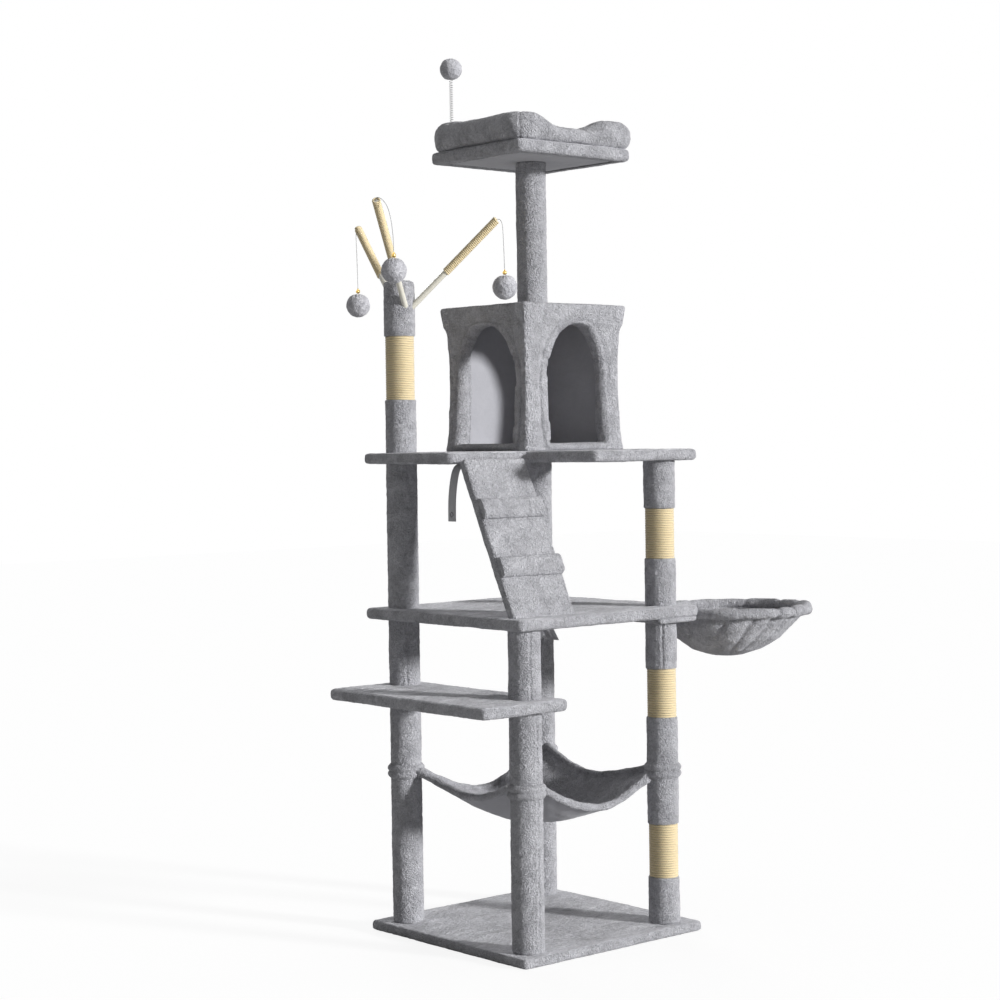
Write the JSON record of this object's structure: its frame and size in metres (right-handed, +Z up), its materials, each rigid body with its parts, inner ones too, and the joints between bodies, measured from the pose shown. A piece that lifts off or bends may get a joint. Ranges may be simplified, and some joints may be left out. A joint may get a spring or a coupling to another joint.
{
  "type": "cat tree",
  "caption": "Tall cat tree with plush platforms, sisal-wound posts, an arched condo, a perch, a hammock, a ring basket, a hinged ladder and hanging ball toys.",
  "frame": {"origin": "centre of the square base's underside, on the floor", "axes": "+Z up; -Y towards the front, where the ladder comes down; the basket is on the +X side"},
  "size_m": [0.9364, 0.784, 1.8818],
  "materials": {
    "plush": "soft short grey plush pile",
    "sisal": "natural sisal rope wound turn against turn",
    "board": "raw particle board, hidden under the plush",
    "cardboard": "plain wound cardboard",
    "plug_plastic": "plain black moulded plastic",
    "steel": "bright zinc-plated steel",
    "rod_plastic": "smooth cream plastic",
    "bell_brass": "polished brass-coloured metal",
    "string": "thin pale grey twisted cord",
    "webbing": "flat woven mid-grey webbing"
  },
  "bodies": {
    "root": {"anti_tip_strap": "webbing", "back_post_cover": "plush", "base_board": "board", "base_bolts": "steel", "base_cover": "plush", "basket_bowl": "plush", "basket_bracket_cover": "plush", "basket_frame": "steel", "basket_rim": "plush", "condo_back_wall": "plush", "condo_front_wall": "plush", "condo_left_wall": "plush", "condo_right_wall": "plush", "condo_roof": "plush", "condo_screws": "steel", "front_post_cover": "plush", "hammock_sheet": "plush", "hammock_sleeves": "plush", "hinge_pins": "steel", "joining_studs": "steel", "left_post_cover": "plush", "left_post_sisal": "sisal", "middle_platform_board": "board", "middle_platform_cover": "plush", "perch_board": "board", "perch_bolster": "plush", "perch_cover": "plush", "perch_post_cover": "plush", "platform_hinge_leaves": "steel", "post_end_plugs": "plug_plastic", "post_tubes": "cardboard", "right_post_cover": "plush", "right_post_sisal": "sisal", "spring_foot": "plug_plastic", "step_board": "board", "step_cover": "plush", "strap_eyelet": "steel", "strap_tail": "webbing", "toy_post_plug": "plug_plastic", "underside_screws": "steel", "upper_platform_board": "board", "upper_platform_cover": "plush", "wand_rods": "rod_plastic", "wand_sisal": "sisal"},
    "left_toy": {"left_toy_string": "string", "left_toy_bell": "bell_brass", "left_toy_ball": "plush"},
    "middle_toy": {"middle_toy_string": "string", "middle_toy_bell": "bell_brass", "middle_toy_ball": "plush"},
    "right_toy": {"right_toy_string": "string", "right_toy_bell": "bell_brass", "right_toy_ball": "plush"},
    "spring_toy": {"toy_spring": "steel", "spring_ball": "plush"},
    "ladder": {"ladder_board": "board", "ladder_cover": "plush", "ladder_rungs": "plush", "ladder_hinge_leaves": "steel"}
  },
  "joints": [
    {"name": "left_toy_swing", "type": "hinge", "parent": "root", "child": "left_toy", "pos_m": [-0.15278, 0.38583, 1.51687], "axis": [0.1763, 0.9843, 0], "range_deg": [-30, 30]},
    {"name": "middle_toy_swing", "type": "hinge", "parent": "root", "child": "middle_toy", "pos_m": [-0.35619, 0.054, 1.53708], "axis": [0.5901, -0.8073, 0], "range_deg": [-30, 30]},
    {"name": "right_toy_swing", "type": "hinge", "parent": "root", "child": "right_toy", "pos_m": [-0.06074, 0.02586, 1.51055], "axis": [0.665, -0.7469, 0], "range_deg": [-30, 30]},
    {"name": "spring_toy_lean", "type": "hinge", "parent": "root", "child": "spring_toy", "pos_m": [-0.022, 0.215, 1.7343], "axis": [0, 1, 0], "range_deg": [-25, 25], "stiffness_Nm_per_rad": 0.3},
    {"name": "ladder_lift", "type": "hinge", "parent": "root", "child": "ladder", "pos_m": [-0.152, -0.0435, 0.9983], "axis": [-1, 0, 0], "range_deg": [0, 35]}
  ]
}
